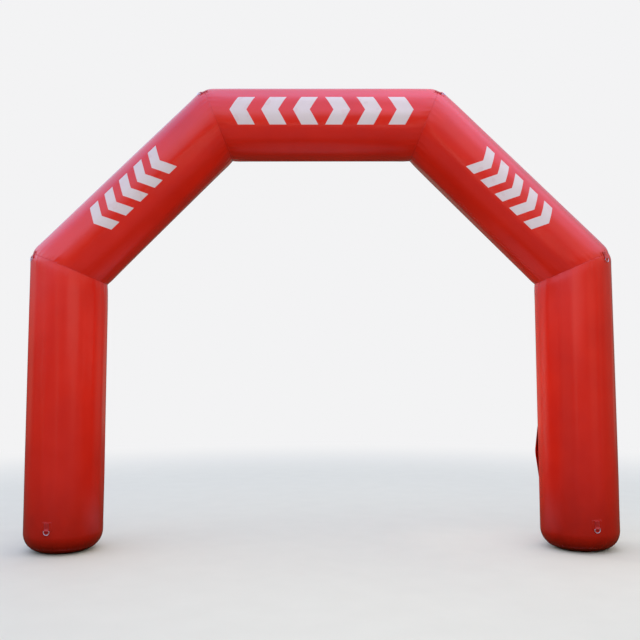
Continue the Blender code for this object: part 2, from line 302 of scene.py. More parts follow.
def cloth_point(tube, angle, a, bridged=False):
    """The point at an angle from the outermost line and a distance a from the tube's start.

    radius = taper - insets at both ends + puckers + waves. Along the axis, a point near a mitred end lies
    at its distance from the mitre plane, which slopes as radius x cos(angle) x tan(22.5 degrees), and the
    two ends' places are mixed in proportion to a. bridged leaves out the narrow crease at a seam, as a
    patch sewn over it does."""
    angle, a = np.broadcast_arrays(angle, a)
    whole = run_length(tube, angle)
    b = whole - a
    share = a / whole
    radius = tube.radii[0] + (tube.radii[1] - tube.radii[0]) * share
    calm = 1.0
    for distance, seam in ((a, tube.seams[0]), (b, tube.seams[1])):
        if seam is None:
            radius = radius - foot_inset(distance) + foot_gathers(angle, distance - BASE_SEAM_HEIGHT)
            calm = calm * np.clip((distance - WAVE_START) / WAVE_RISE, 0, 1)
        else:
            radius = radius - corner_inset(angle, distance) + puckers(angle, distance, seam)
            radius = radius - (0 if bridged else SEAM_WELT * np.exp(-distance / SEAM_WELT_REACH))
            calm = calm * (1 - np.exp(-((distance / SEAM_CALM) ** 2)))
    radius = radius + calm * waves(angle, a, tube.seed)
    slope = radius * np.cos(angle) * MITRE
    from_start = a if tube.seams[0] is None else a - slope
    from_end = tube.length - b + slope
    place = from_start * (1 - share) + from_end * share
    radial = tube.outward * np.cos(angle)[..., None] + FRONT * np.sin(angle)[..., None]
    return tube.start + radial * radius[..., None] + tube.axis * place[..., None]


def spaced(count, first, last, pull=4.0):
    """Distances from first to last that crowd towards both ends: sinh spacing on each half."""
    t = np.linspace(-1, 1, count)
    half = np.sign(t) * (1 - np.sinh(pull * (1 - np.abs(t))) / math.sinh(pull))
    return first + (last - first) * (half + 1) / 2


# %% [markdown]
# ## The five tube panels
# A panel is a grid: the angle round the tube one way, and the distance along its line the other way. The
# rows crowd towards the seams, where the puckers are. Each panel keeps a map of itself in metres: across
# is measured round the tube from its front line, and up is measured from the middle of its length. The
# weave and the printed pattern both read this map.

# %% Panels
COLUMNS = 320
ROWS = 104
ROUND = np.linspace(-math.pi / 2, 1.5 * math.pi, COLUMNS + 1)[None, :]  # the map's join is on the back line


def finish_piece(made, node):
    """Hides the solid that a piece stands for."""
    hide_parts(node)
    return made


def blown_up(node, points, uv, distance):
    """A padded piece of cloth. Each point keeps its distance from the nearest seam, for the dust and
    painted shade there.
    """
    made = tube_mesh(f"{node}_cloth", points, uv)
    attribute = made.data.attributes.new("seam_distance", "FLOAT", "POINT")
    attribute.data.foreach_set("value", np.asarray(distance, dtype=np.float32).ravel())
    return finish_piece(made, node)


def panel(node, tube, first):
    """Grid of a panel: the angle round the tube, and the distance from its first row to its far seam."""
    whole = run_length(tube, ROUND)
    a = first + spaced(ROWS, 0, 1)[:, None] * (whole - GAP / 2 - first)
    points = cloth_point(tube, ROUND[:, :-1], a[:, :-1])
    around = (math.pi / 2 - ROUND) * tube.radii[1]
    uv = np.stack(np.broadcast_arrays(around, a - whole / 2), axis=-1)
    return blown_up(node, points, uv, np.minimum(a, whole - a)[:, :-1])


panels = {}
for word, side in SIDES.items():
    panels[f"leg_{word}"] = panel(f"leg_{word}", leg_tube(side), BASE_SEAM_HEIGHT + GAP)
    panels[f"shoulder_{word}"] = panel(f"shoulder_{word}", shoulder_tube(side), GAP / 2)
panels["beam"] = panel("beam", beam_tube(), GAP / 2)
print("panels:", {name: len(made.data.polygons) for name, made in panels.items()})

# %% [markdown]
# ## The base panels
# A round panel closes each leg. It lies flat on the ground in the middle and curves up to its seam, where
# it is gathered in as the leg is. It could be a turned profile, but the gathers go round it, so it is a
# grid too: from the centre outwards one way, and round the leg the other way.

# %% Base panels
BASE_ROWS = 26
DISC_ROWS = 8
DISC_HOLE = 0.004  # radius of the first ring, which one face closes
FLAT_RADIUS = LEG_RADIUS - FOOT_INSET


def base_panel(node, side):
    """Rows run from the centre to the flat disc's edge, then up the ellipse by its slope to 45 degrees."""
    slope = np.linspace(0, BASE_SEAM, BASE_ROWS)[:, None]
    radius = FLAT_RADIUS + FOOT_INSET * np.sin(slope)
    height = FOOT_RISE * (1 - np.cos(slope))
    ridge = foot_gathers(ROUND, FOOT_INSET * (BASE_SEAM - slope)) * np.sin(slope)
    radius, height = radius + ridge * np.sin(slope), height - ridge * np.cos(slope) + 0 * ROUND
    inner = np.linspace(DISC_HOLE, FLAT_RADIUS, DISC_ROWS, endpoint=False)[:, None] + 0 * ROUND
    radius, height = np.concatenate([inner, radius]), np.concatenate([0 * inner, np.clip(height, 0, None)])
    points = np.stack([side * (LEG_X + radius * np.cos(ROUND)), -radius * np.sin(ROUND), height], axis=-1)
    uv = np.stack([radius * np.cos(ROUND), radius * np.sin(ROUND)], axis=-1)
    return blown_up(node, points[:, :-1], uv, BASE_SEAM_HEIGHT - points[:, :-1, 2])


for word, side in SIDES.items():
    panels[f"base_{word}"] = base_panel(f"base_{word}", side)
print("base panels reach", round(BASE_SEAM_HEIGHT, 4), "m above the ground")

# %% [markdown]
# ## Tie points
# A ring is tied on at twelve places: above each foot and over each of the four bends, at the front and
# the back. Each place needs the same thing, a small patch of the tube's own surface with its directions,
# so that a patch, a strap and a ring can be laid on it. Over a bend a patch lies square to the seam and
# goes straight across it. The directions are measured from the surface by small steps and squared up.

# %% Where the ties sit
FOOT_TIE_HEIGHT = 0.25
FOOT_TIE_TURN = math.radians(6)
CORNER_TIE_DROP = 0.042
Tie = namedtuple("Tie", "surface origin across down normal")


def tie_on(cloth, outward):
    """Squares up the directions of a cloth, which is a function of distances down and along its seam."""
    step = 0.01
    here = np.zeros(1)
    down = (cloth(here + step, here) - cloth(here - step, here))[0] / (2 * step)
    along_seam = (cloth(here, here + step) - cloth(here, here - step))[0] / (2 * step)
    lean = along_seam @ down / (down @ down)
    across = along_seam - down * lean
    wide, deep = np.linalg.norm(across), np.linalg.norm(down)

    def surface(s, w):
        """The cloth's point at a distance s down from the ring's bar and w across."""
        return cloth(s / deep - lean * w / wide, w / wide)

    normal = np.cross(across, down)
    normal = normal / np.linalg.norm(normal) * np.sign(normal @ outward)
    return Tie(surface, surface(here, here)[0], across / wide, down / deep, normal)


def foot_tie(side, face):
    leg = leg_tube(side)

    def cloth(s, w):
        return cloth_point(leg, -face * (math.pi / 2 - FOOT_TIE_TURN) + w / LEG_RADIUS, FOOT_TIE_HEIGHT - s)

    return tie_on(cloth, FRONT * -face)


def corner_tie(upper, upper_at_end, lower, face):
    """Square to its seam, so that the strip runs straight on over the bend. Laid out flat, the seam falls
    at the slope atan(tan(22.5 degrees) sin(angle)). A step of s square to it turns the angle by
    s sin(slope) / radius, and the upper tube is the lower one's mirror image."""
    middle = -face * TIE_ANGLES[lower.seams[1]]
    slope = math.atan(MITRE * math.sin(middle))

    def cloth(s, w):
        drop = s + CORNER_TIE_DROP
        beside = middle + w * math.cos(slope) / lower.radii[1]
        angle = beside - np.abs(drop) * math.sin(slope) / lower.radii[1]
        fall = lower.radii[1] * MITRE * (np.cos(angle) - np.cos(beside))
        along = np.clip(np.abs(drop) * math.cos(slope) + fall, GAP / 2, None)
        below = cloth_point(lower, angle, run_length(lower, angle) - along, bridged=True)
        above = run_length(upper, angle) - along if upper_at_end else along
        above = cloth_point(upper, angle, above, bridged=True)
        return np.where((drop >= 0)[..., None], below, above)

    return tie_on(cloth, lower.outward)


ties = {}
for word, side in SIDES.items():
    leg, shoulder = leg_tube(side), shoulder_tube(side)
    for face_word, face in FACES.items():
        ties[f"foot_{word}_{face_word}"] = foot_tie(side, face)
        ties[f"knee_{word}_{face_word}"] = corner_tie(shoulder, False, leg, face)
        ties[f"crown_{word}_{face_word}"] = corner_tie(beam_tube(), side > 0, shoulder, face)
print("tie points:", len(ties))

# %% [markdown]
# ## Patches
# Under each strap a second piece of the same cloth spreads the pull. It is a rectangle with round
# corners. A square grid is pressed into that shape by dividing each point by the size that it has in a
# superellipse, and then laid on the tube's surface.

# %% Patches
PATCH_WIDTH = 0.10
PATCH_TOP, PATCH_BOTTOM = -0.087, 0.003
PATCH_CLOTH = 0.0012
CURVED_GAP = 0.0006
PATCH_CORNERS = 9  # power of the superellipse: higher is squarer
PATCH_GRID = (33, 31)  # points across and down


def patch(label, tie):
    p, q = np.meshgrid(*(np.linspace(-1, 1, count) for count in PATCH_GRID))
    reach = np.maximum(np.abs(p), np.abs(q))
    size = (np.abs(p) ** PATCH_CORNERS + np.abs(q) ** PATCH_CORNERS) ** (1 / PATCH_CORNERS)
    pull = np.divide(reach, size, out=np.ones_like(reach), where=size > 0)
    w = p * pull * PATCH_WIDTH / 2
    s = (PATCH_TOP + PATCH_BOTTOM) / 2 + q * pull * (PATCH_BOTTOM - PATCH_TOP) / 2
    middle = tie.surface(s, w) + tie.normal * (CURVED_GAP + PATCH_CLOTH / 2)
    uv = np.stack([w, s], axis=-1)
    made = sheet_mesh(f"patch_{label}_cloth", middle, tie.normal[None, None, :], PATCH_CLOTH, uv)
    return finish_piece(made, f"patch_{label}")


patches = {label: patch(label, tie) for label, tie in ties.items()}
print("patches:", len(patches))

# %% [markdown]
# ## Straps
# A strap is a length of woven webbing, folded round the bar of its ring and sewn down on both plies. Its
# cross-section is a flat oval, carried along a path: up the patch, round the bar in a half circle and
# back over itself. Near the bar it leaves the tube's curve and lies straight across, as the bar does.

# %% Straps
WEBBING_WIDTH = 0.048
WEBBING_THICKNESS = 0.0016
WIRE_RADIUS = 0.003
BAR_HEIGHT = 0.0082
STRAP_LENGTH = 0.075
LOOP = WIRE_RADIUS + GAP + WEBBING_THICKNESS / 2
LOWER_PLY = 2 * CURVED_GAP + PATCH_CLOTH + WEBBING_THICKNESS / 2
UPPER_PLY = LOWER_PLY + WEBBING_THICKNESS + CURVED_GAP
SEWN_TO = -0.022  # the plies come together here, measured from the bar
CURVED_TO, LEVEL_FROM = -0.03, -0.002  # between these the strap leaves the tube's curve for the bar's line
OVAL = 14  # power of the cross-section's outline: higher is flatter


def smooth(value, low, high):
    """0 below low, 1 above high, and 3 t^2 - 2 t^3 between."""
    t = np.clip((value - low) / (high - low), 0, 1)
    return t * t * (3 - 2 * t)


def run_along(path):
    """Length from a path's start to each of its points."""
    return np.concatenate([[0], np.cumsum(np.linalg.norm(np.diff(path, axis=0), axis=1))])


def strap_path():
    """Place s, height and turn of the webbing's middle line, from the lower ply's end to the upper one's."""
    sewn = np.linspace(-STRAP_LENGTH, SEWN_TO, 12)
    near = np.linspace(SEWN_TO, 0, 9)[1:-1]
    turn = np.linspace(0, math.pi, 19)
    rise = smooth(near, SEWN_TO, 0)
    s = np.concatenate([sewn, near, LOOP * np.sin(turn), near[::-1], sewn[::-1]])
    low = LOWER_PLY + (BAR_HEIGHT - LOOP - LOWER_PLY) * rise
    high = UPPER_PLY + (BAR_HEIGHT + LOOP - UPPER_PLY) * rise
    height = np.concatenate([LOWER_PLY + 0 * sewn, low, BAR_HEIGHT - LOOP * np.cos(turn), high[::-1],
                             UPPER_PLY + 0 * sewn])
    turned = np.concatenate([0 * sewn, 0 * near, turn, 0 * near + math.pi, 0 * sewn + math.pi])
    return s, height, turned


def strap(label, tie):
    s, height, turned = (values[:, None] for values in strap_path())
    across = np.linspace(-1, 1, 15)
    edge = np.sqrt(1 - across**OVAL)
    w = np.concatenate([across, across[-2:0:-1]])[None, :] * WEBBING_WIDTH / 2
    off = np.concatenate([edge, -edge[-2:0:-1]])[None, :] * WEBBING_THICKNESS / 2
    place, up = s - off * np.sin(turned), height + off * np.cos(turned)
    level = smooth(place, CURVED_TO, LEVEL_FROM)[..., None]
    curved = tie.surface(place, w + 0 * place)
    straight = tie.origin + w[..., None] * tie.across + place[..., None] * tie.down
    points = curved * (1 - level) + straight * level + up[..., None] * tie.normal
    length = run_along(np.concatenate([s, height], axis=1))
    wide = np.concatenate([w, w[:, :1]], axis=1)
    uv = np.stack(np.broadcast_arrays(wide, length[:, None]), axis=-1)
    made = tube_mesh(f"strap_{label}_webbing", points, uv)
    return finish_piece(made, f"strap_{label}")


straps = {label: strap(label, tie) for label, tie in ties.items()}
print("straps:", len(straps))

# %% [markdown]
# ## Rings
# A D-ring is wire bent to a flat bar, two short sides and a round end, and its ends are butted under the
# webbing. The path is worked out from those lengths, with a small radius at both ends of the bar, and a
# circle is carried along it. The path is flat, so the circle's two directions are the path's own sideways
# direction and the ring's normal.

# %% Rings
RING_REACH = 0.028  # from the middle of the bar to the middle of a side
RING_STRAIGHT = 0.008
BAR_BEND = 0.0038
WIRE_SIDES = 16


def ring_path():
    """(across, down) of points along the middle of the wire: bar, corner, round end and corner."""
    quarter = np.linspace(0, math.pi / 2, 7)
    half = np.linspace(0, math.pi, 40)
    corner = RING_REACH - BAR_BEND
    bar = np.linspace(-corner, corner, 12)[1:-1]
    x = np.concatenate([bar, corner + BAR_BEND * np.sin(quarter), RING_REACH * np.cos(half),
                        -corner - BAR_BEND * np.cos(quarter)])
    y = np.concatenate([0 * bar, BAR_BEND * (1 - np.cos(quarter)), RING_STRAIGHT + RING_REACH * np.sin(half),
                        BAR_BEND * (1 - np.sin(quarter))])
    return x, y


def ring(label, tie):
    x, y = ring_path()
    step_x, step_y = np.roll(x, -1) - np.roll(x, 1), np.roll(y, -1) - np.roll(y, 1)
    size = np.hypot(step_x, step_y)
    side_x, side_y = step_y / size, -step_x / size
    turn = np.linspace(0, 2 * math.pi, WIRE_SIDES, endpoint=False)[None, :]
    out, up = WIRE_RADIUS * np.cos(turn), WIRE_RADIUS * np.sin(turn)
    across = x[:, None] + side_x[:, None] * out
    down = y[:, None] + side_y[:, None] * out
    centre = tie.origin + tie.normal * BAR_HEIGHT
    points = centre + across[..., None] * tie.across + down[..., None] * tie.down
    points = points + (up + 0 * across)[..., None] * tie.normal
    faces = grid_faces(*points.shape[:2], wrap=True, wrap_rows=True)
    uv = np.stack([across * 0 + x[:, None], up + 0 * across], axis=-1).reshape(-1, 2)[faces].reshape(-1, 2)
    made = build_mesh(f"ring_{label}_wire", points, faces.tolist(), uv)
    return finish_piece(made, f"ring_{label}")


rings = {label: ring(label, tie) for label, tie in ties.items()}
print("rings:", len(rings))

# %% [markdown]
# ## The flap
# On the inner side of the right leg, towards the back, a strip of cloth is sewn down along its back edge
# and at both ends. Its free edge stands off in a shallow peak. It follows the leg's own surface, with a
# stand-off that grows towards the free edge, and its edges are hemmed, so they are a little thicker.

# %% Flap
FLAP_HEIGHT = 0.52
FLAP_WIDTH = 0.15
FLAP_MIDDLE = 0.95
FLAP_AZIMUTH = math.radians(44)
FLAP_BULGE = 0.033
FLAP_PEAK_ROUND = 0.1
FLAP_CURL = 1.5
FLAP_CLOTH = 0.0015
HEM_WIDTH = 0.018
HEM_STEP = 0.002  # distance over which a hem's extra thickness ends
HEM_EXTRA = 0.0008
FLAP_GRID = (81, 31)  # points up and across


def flap_surface(level, share):
    """The flap's middle surface and its outward direction. Stand-off = bulge x peak(level) x share^1.5,
    where peak is a rounded tent, and share is 0 at the sewn edge and 1 at the free one."""
    peak = 1 - np.hypot(level, FLAP_PEAK_ROUND) / math.hypot(1, FLAP_PEAK_ROUND)
    leg = leg_tube(1)
    angle = math.pi + FLAP_AZIMUTH - share * FLAP_WIDTH / LEG_RADIUS
    height = FLAP_MIDDLE + level * FLAP_HEIGHT / 2
    radial = leg.outward * np.cos(angle)[..., None] + FRONT * np.sin(angle)[..., None]
    stand_off = 2 * GAP + FLAP_CLOTH / 2 + FLAP_BULGE * peak * share**FLAP_CURL
    return cloth_point(leg, angle, height) + radial * stand_off[..., None], radial


def flap(node):
    level, share = np.linspace(-1, 1, FLAP_GRID[0]), np.linspace(0, 1, FLAP_GRID[1])
    level, share = np.meshgrid(level, share, indexing="ij")
    middle, radial = flap_surface(level, share)
    edge = np.minimum((1 - np.abs(level)) * FLAP_HEIGHT / 2, (1 - share) * FLAP_WIDTH)
    thickness = FLAP_CLOTH + HEM_EXTRA * (1 - smooth(edge, HEM_WIDTH - HEM_STEP, HEM_WIDTH))
    uv = np.stack([share * FLAP_WIDTH, level * FLAP_HEIGHT / 2], axis=-1)
    made = sheet_mesh(f"{node}_cloth", middle, radial, thickness[..., None], uv)
    return finish_piece(made, node)


flap_piece = flap("flap_right")
print("flap:", len(flap_piece.data.polygons), "faces")

# %% [markdown]
# ## Stitches
# Every seam is sewn with thick thread, and each stitch shows as a short raised bead. A stitch here is a
# four-sided capsule of few faces. Numpy copies it along each sewing line in one go, turned to the line
# and laid on the cloth's own normal, so thousands of them cost little.

# %% Stitch helper
THREAD_RADIUS = 0.0005
STITCH_SHARE = 0.78  # of the pitch that a stitch fills; the rest is the hole between two
STITCH_LIFT = 0.6  # thread radii that a stitch's middle stands above the cloth


def capsule(length):
    """Points and faces of one stitch on the x axis: rings of four points, with a point at each end."""
    stations = (np.array((-0.34, 0.0, 0.34)) * length)[:, None]
    radii = (np.array((0.8, 1.0, 0.8)) * THREAD_RADIUS)[:, None]
    turn = np.arange(4) * math.pi / 2
    rings = np.stack([stations + 0 * turn, radii * np.cos(turn), radii * np.sin(turn)], axis=-1)
    points = np.concatenate([rings.reshape(-1, 3), [[-length / 2, 0, 0], [length / 2, 0, 0]]])
    sides = grid_faces(3, 4, wrap=True)
    near, far = len(points) - 2, len(points) - 1
    tips = [[near, (k + 1) % 4, k] for k in range(4)] + [[far, 8 + k, 8 + (k + 1) % 4] for k in range(4)]
    return points, sides, np.array(tips)


def unit(rows):
    """Each row divided by its length."""
    return rows / np.linalg.norm(rows, axis=1, keepdims=True)


def looked_up(at, run, rows):
    """Rows read at distances along a path, in a straight line between its points."""
    return np.stack([np.interp(at, run, rows[:, k]) for k in range(3)], axis=-1)


def sewing(name, lines, pitch):
    """Copies a stitch along lines. A line is (points, normals), dense and in order. Stitches sit at even
    pitch along its length: place = line + frame times capsule, with the frame's rows tangent, side and
    normal."""
    points, sides, tips = capsule(pitch * STITCH_SHARE)
    every_point, every_face, start = [], [], 0
    nudge = 1e-4
    for path, normals in lines:
        run = run_along(path)
        count = max(int(run[-1] / pitch), 1)
        at = (np.arange(count) + 0.5) * run[-1] / count
        place = looked_up(at, run, path)
        tangent = unit(looked_up(at + nudge, run, path) - looked_up(at - nudge, run, path))
        side = unit(np.cross(looked_up(at, run, normals), tangent))
        normal = np.cross(tangent, side)
        turned = np.einsum("pk,nkj->npj", points, np.stack([tangent, side, normal], axis=1))
        lifted = place + normal * THREAD_RADIUS * STITCH_LIFT
        every_point.append((turned + lifted[:, None, :]).reshape(-1, 3))
        first = start + np.arange(count)[:, None, None] * len(points)
        every_face += (sides + first).reshape(-1, 4).tolist() + (tips + first).reshape(-1, 3).tolist()
        start += count * len(points)
    uvs = np.zeros((sum(map(len, every_face)), 2))
    made = build_mesh(name, np.concatenate(every_point), every_face, uvs)
    return made


# %% Stitches beside the seams
SEAM_STITCH_PITCH = 0.006
SEAM_STITCH_INSET = 0.009
SEAM_POINTS = 1200


def seam_line(tube, distance, at_end):
    """A line round a tube at a distance from a seam, with its outward normals. A normal is square to two
    short steps, one round the tube and one along it."""
    angle = np.linspace(0, 2 * math.pi, SEAM_POINTS)[:, None] + np.array((0, 0.002, 0))[None, :]
    reach = distance + np.array((0, 0, 0.001))[None, :]
    whole = run_length(tube, angle)
    points = cloth_point(tube, angle, whole - reach if at_end else reach + 0 * angle)
    normal = np.cross(points[:, 1] - points[:, 0], points[:, 2] - points[:, 0])
    centre = points[:, 0].mean(axis=0)
    normal = normal * np.sign(np.einsum("ij,ij->i", normal, points[:, 0] - centre))[:, None]
    return points[:, 0], unit(normal)


beam = beam_tube()
stitches = []
for word, side in SIDES.items():
    leg, shoulder = leg_tube(side), shoulder_tube(side)
    foot = seam_line(leg, BASE_SEAM_HEIGHT + SEAM_STITCH_INSET, False)
    knee = [seam_line(leg, SEAM_STITCH_INSET, True), seam_line(shoulder, SEAM_STITCH_INSET, False)]
    crown = [seam_line(shoulder, SEAM_STITCH_INSET, True), seam_line(beam, SEAM_STITCH_INSET, side > 0)]
    stitches.append(sewing(f"stitches_leg_{word}", [foot, *knee, *crown], SEAM_STITCH_PITCH))
print("stitch faces:", [len(made.data.polygons) for made in stitches])

# %% Stitches on the ties and the flap
BORDER_PITCH = 0.004
BORDER_INSET = 0.005
BORDER_ROUND = 0.006  # how far the border cuts across a patch's corner
BOX_INSET = 0.005  # from the strap's end and edges to its stitched box
BOX_DROP = 0.006  # and from the place where its plies part
FLAP_INSET = 0.008


def through(corners, steps):
    """Points in even steps along the straight lines between corners, as two rows."""
    corners = np.array(corners)
    step = np.linspace(0, 1, steps)[:, None]
    return np.concatenate([a + (b - a) * step for a, b in zip(corners[:-1], corners[1:])]).T


def tie_line(tie, corners, lift):
    """A line on a tie point through (s, w) corners, lifted off the tube by lift."""
    s, w = through(corners, steps=24)
    points = tie.surface(s, w) + tie.normal * lift
    return points, np.broadcast_to(tie.normal, points.shape)


def tie_stitches(label, tie):
    """A border round the patch, and a box with a cross on the strap."""
    top, bottom, half = PATCH_TOP + BORDER_INSET, PATCH_BOTTOM - BORDER_INSET, PATCH_WIDTH / 2 - BORDER_INSET
    high, low, near = top + BORDER_ROUND, bottom - BORDER_ROUND, half - BORDER_ROUND
    border = [(high, -half), (top, -near), (top, near), (high, half),
              (low, half), (bottom, near), (bottom, -near), (low, -half), (high, -half)]
    border = tie_line(tie, border, CURVED_GAP + PATCH_CLOTH)
    top, bottom, half = -STRAP_LENGTH + BOX_INSET, SEWN_TO - BOX_DROP, WEBBING_WIDTH / 2 - BOX_INSET
    box = [(top, -half), (top, half), (bottom, half), (bottom, -half),
           (top, -half), (bottom, half), (bottom, -half), (top, half)]
    box = tie_line(tie, box, UPPER_PLY + WEBBING_THICKNESS / 2)
    return sewing(f"stitches_{label}", [border, box], BORDER_PITCH)


stitches += [tie_stitches(label, tie) for label, tie in ties.items()]


def flap_border():
    """A line just inside the flap's edge, on its outer face."""
    high, wide = FLAP_HEIGHT / 2 - FLAP_INSET, FLAP_WIDTH - FLAP_INSET
    corners = [(-high, FLAP_INSET), (high, FLAP_INSET), (high, wide), (-high, wide), (-high, FLAP_INSET)]
    height, across = through(corners, steps=80)
    points, radial = flap_surface(height / (FLAP_HEIGHT / 2), across / FLAP_WIDTH)
    return points + radial * (FLAP_CLOTH + HEM_EXTRA) / 2, radial


stitches.append(sewing("stitches_flap", [flap_border()], BORDER_PITCH))
print("stitch pieces:", len(stitches))

# %% [markdown]
# ## Finishes
# Each finish starts from what the real material is and how it was made. A finish is a small tree of
# nodes, so a few helpers do the plumbing. One turns a colour from its hex form to linear light, one adds a
# node with its settings and its links, and one starts a finish off with its shader.

# %% Finish helpers
def colour(code):
    """Linear red, green, blue and alpha of an sRGB hex colour: ((c + 0.055) / 1.055)^2.4 above 0.04."""
    values = [int(code[k:k + 2], 16) / 255 for k in (1, 3, 5)]
    return [c / 12.92 if c <= 0.04045 else ((c + 0.055) / 1.055) ** 2.4 for c in values] + [1.0]


def add(tree, kind, inputs=None, **settings):
    """Adds a node, sets its own settings, and gives each named input a number or a link. kind is the node's
    type without its first part, ShaderNode. Gives the node's outputs."""
    made = tree.nodes.new("ShaderNode" + kind)
    for key, value in settings.items():
        setattr(made, key, value)
    for key, value in (inputs or {}).items():
        if isinstance(value, bpy.types.NodeSocket):
            tree.links.new(value, made.inputs[key])
        else:
            made.inputs[key].default_value = value
    return made.outputs


def start_finish(name, **shader_inputs):
    """A new finish: its tree, its shader and the places that its patterns read. Numbers that are the same
    all over are set on the shader itself."""
    finish = bpy.data.materials.new(name)
    finish.use_nodes = True
    tree = finish.node_tree
    tree.nodes.clear()
    shader = tree.nodes.new("ShaderNodeBsdfPrincipled")
    for key, value in shader_inputs.items():
        shader.inputs[key.replace("_", " ")].default_value = value
    add(tree, "OutputMaterial", {"Surface": shader.outputs[0]})
    return finish, tree, shader, add(tree, "TexCoord")


def put_on(piece, finish):
    piece.data.materials.clear()
    piece.data.materials.append(finish)


EASED = {"interpolation_type": "SMOOTHSTEP"}  # a range's setting that rounds both of its ends
print("white is", [round(c, 3) for c in colour("#ffffff")])

# %% [markdown]
# ## Coated cloth
# The tubes are polyester cloth, woven flat and then coated on both sides with soft vinyl. The coating is
# rolled smooth, so the cloth is satin and the thread of the weave only just shows through it. What makes
# it real from a distance is the colour, which is deep where the cloth turns away, the slow blotches of
# handling, a painted shade that darkens the legs towards the ground, and dust and painted shade in a
# thin line beside each seam.

# %% Coated cloth
WEAVE_REPEAT = 0.0056  # two threads; a real pair is 2 mm, and this is drawn coarser so that it shows at all
WAVE_SCALE = 0.32  # at this scale the wave node's bands are close to one unit apart
CLOTH_RED = "#dc230e"
CLOTH_DEEP = "#d01d0b"
CLOTH_SHINE = {"To Min": 0.19, "To Max": 0.265}  # roughness
INK_ROUGHER = 0.06
# This deep red is mixed in as painted shade, most at the foot of each leg, and as dust and shade by the
# seams.
SHADE_AND_DUST_RED = "#7d1105"
LOW_PAINTED_SHADE = {"From Min": 0.0, "From Max": 0.8, "To Min": 0.42, "To Max": 0.0}  # amount by height
# Beside a seam the deep red stands for dust, and for painted shade in the fold.
SEAM_DUST_AND_SHADE = {"From Min": 0.001, "From Max": 0.008, "To Min": 0.03, "To Max": 0.0}  # and beside a seam
PRINT_WHITE = "#d8cbc5"


def cloth_colour(tree, place):
    """Blotches: broad noise, stretched over the range between two reds. Gives the colour and a finer noise
    for the wear."""
    broad = add(tree, "TexNoise", {"Vector": place["Object"], "Scale": 2.2, "Detail": 2.0})
    narrow = add(tree, "TexNoise", {"Vector": place["Object"], "Scale": 9.0, "Detail": 1.0})
    spread = add(tree, "MapRange", {"Value": broad["Fac"], "From Min": 0.3, "From Max": 0.7})
    return add(tree, "Mix", {0: spread[0], 6: colour(CLOTH_DEEP), 7: colour(CLOTH_RED)},
               data_type="RGBA")[2], narrow["Fac"]


def shaded_and_soiled(tree, place, base, noise):
    """Painted shade darkens the foot of each leg, most at the ground. Dust and painted shade darken a few
    millimetres beside each seam. Noise breaks both."""
    height = add(tree, "SeparateXYZ", {0: place["Object"]})["Z"]
    # painted shade, darker towards the ground
    low = add(tree, "MapRange", {"Value": height, **LOW_PAINTED_SHADE}, **EASED)[0]
    seam = add(tree, "Attribute", attribute_name="seam_distance")["Fac"]
    # dust and painted shade in a thin line beside each seam
    line = add(tree, "MapRange", {"Value": seam, **SEAM_DUST_AND_SHADE}, **EASED)[0]
    either = add(tree, "Math", {0: low, 1: line}, operation="MAXIMUM")[0]
    uneven = {"Value": noise, "From Min": 0.2, "From Max": 0.8, "To Min": 0.75, "To Max": 1.25}
    amount = add(tree, "Math", {0: either, 1: add(tree, "MapRange", uneven)[0]}, operation="MULTIPLY")[0]
    return add(tree, "Mix", {0: amount, 6: base, 7: colour(SHADE_AND_DUST_RED)}, data_type="RGBA")[2]


def weave_bump(tree, map_vector):
    """Two sine waves at right angles, which repeat once for two threads, over and under."""
    size = 1 / WEAVE_REPEAT
    sized = add(tree, "VectorMath", {0: map_vector, 1: (size, size, size)}, operation="MULTIPLY")[0]
    warp, weft = (add(tree, "TexWave", {"Vector": sized, "Scale": WAVE_SCALE}, bands_direction=way)["Fac"]
                  for way in "XY")
    cross = add(tree, "Math", {0: warp, 1: weft}, operation="MULTIPLY")[0]
    return add(tree, "Bump", {"Strength": 0.05, "Distance": 0.0003, "Height": cross})[0]


def coated_cloth(name, print_mask=None):
    """print_mask is a function that adds a pattern's nodes and gives its factor, or None for plain cloth."""
    finish, tree, shader, place = start_finish(name, IOR=1.5)
    base, noise = cloth_colour(tree, place)
    roughness = add(tree, "MapRange", {"Value": noise, **CLOTH_SHINE})[0]
    if print_mask:
        mask = print_mask(tree, place["UV"])
        worn = {"Value": noise, "From Min": 0.2, "From Max": 0.5, "To Min": 0.9}
        worn = add(tree, "MapRange", worn)[0]
        ink = add(tree, "Math", {0: mask, 1: worn}, operation="MULTIPLY")[0]
        base = add(tree, "Mix", {0: ink, 6: base, 7: colour(PRINT_WHITE)}, data_type="RGBA")[2]
        roughness = add(tree, "Math", {0: ink, 1: INK_ROUGHER, 2: roughness}, operation="MULTIPLY_ADD")[0]
    tree.links.new(shaded_and_soiled(tree, place, base, noise), shader.inputs["Base Color"])
    tree.links.new(roughness, shader.inputs["Roughness"])
    tree.links.new(weave_bump(tree, place["UV"]), shader.inputs["Normal"])
    return finish


plain_cloth = coated_cloth("vinyl_coated_polyester")
plain = [piece for name, piece in panels.items() if name.startswith(("leg", "base"))]
plain += [*patches.values(), flap_piece]
for piece in plain:
    put_on(piece, plain_cloth)
print("plain cloth on", len(plain), "pieces")

# %% [markdown]
# ## The printed pattern
# The beam and the shoulders carry a screen print on the front. It is white ink on the coating, so it
# keeps the cloth's gloss and folds. The design is a plain row of chevrons: on the beam they point out
# from the middle, and on each shoulder they point down. It is drawn by sums on the cloth's map, not by a
# picture, so that its edges stay sharp at any size.

# %% Printed pattern
BEAM_PRINT = {"centre": 0.045, "half_height": 0.155, "lean": 0.55, "stroke": 0.17, "pitch": 0.32,
              "reach": (0.205, 0.845)}
SHOULDER_PRINT = {"centre": 0.035, "half_height": 0.16, "lean": 0.5, "stroke": 0.11, "pitch": 0.20,
                  "reach": (-0.495, 0.305)}
INK_EDGE = 0.0012


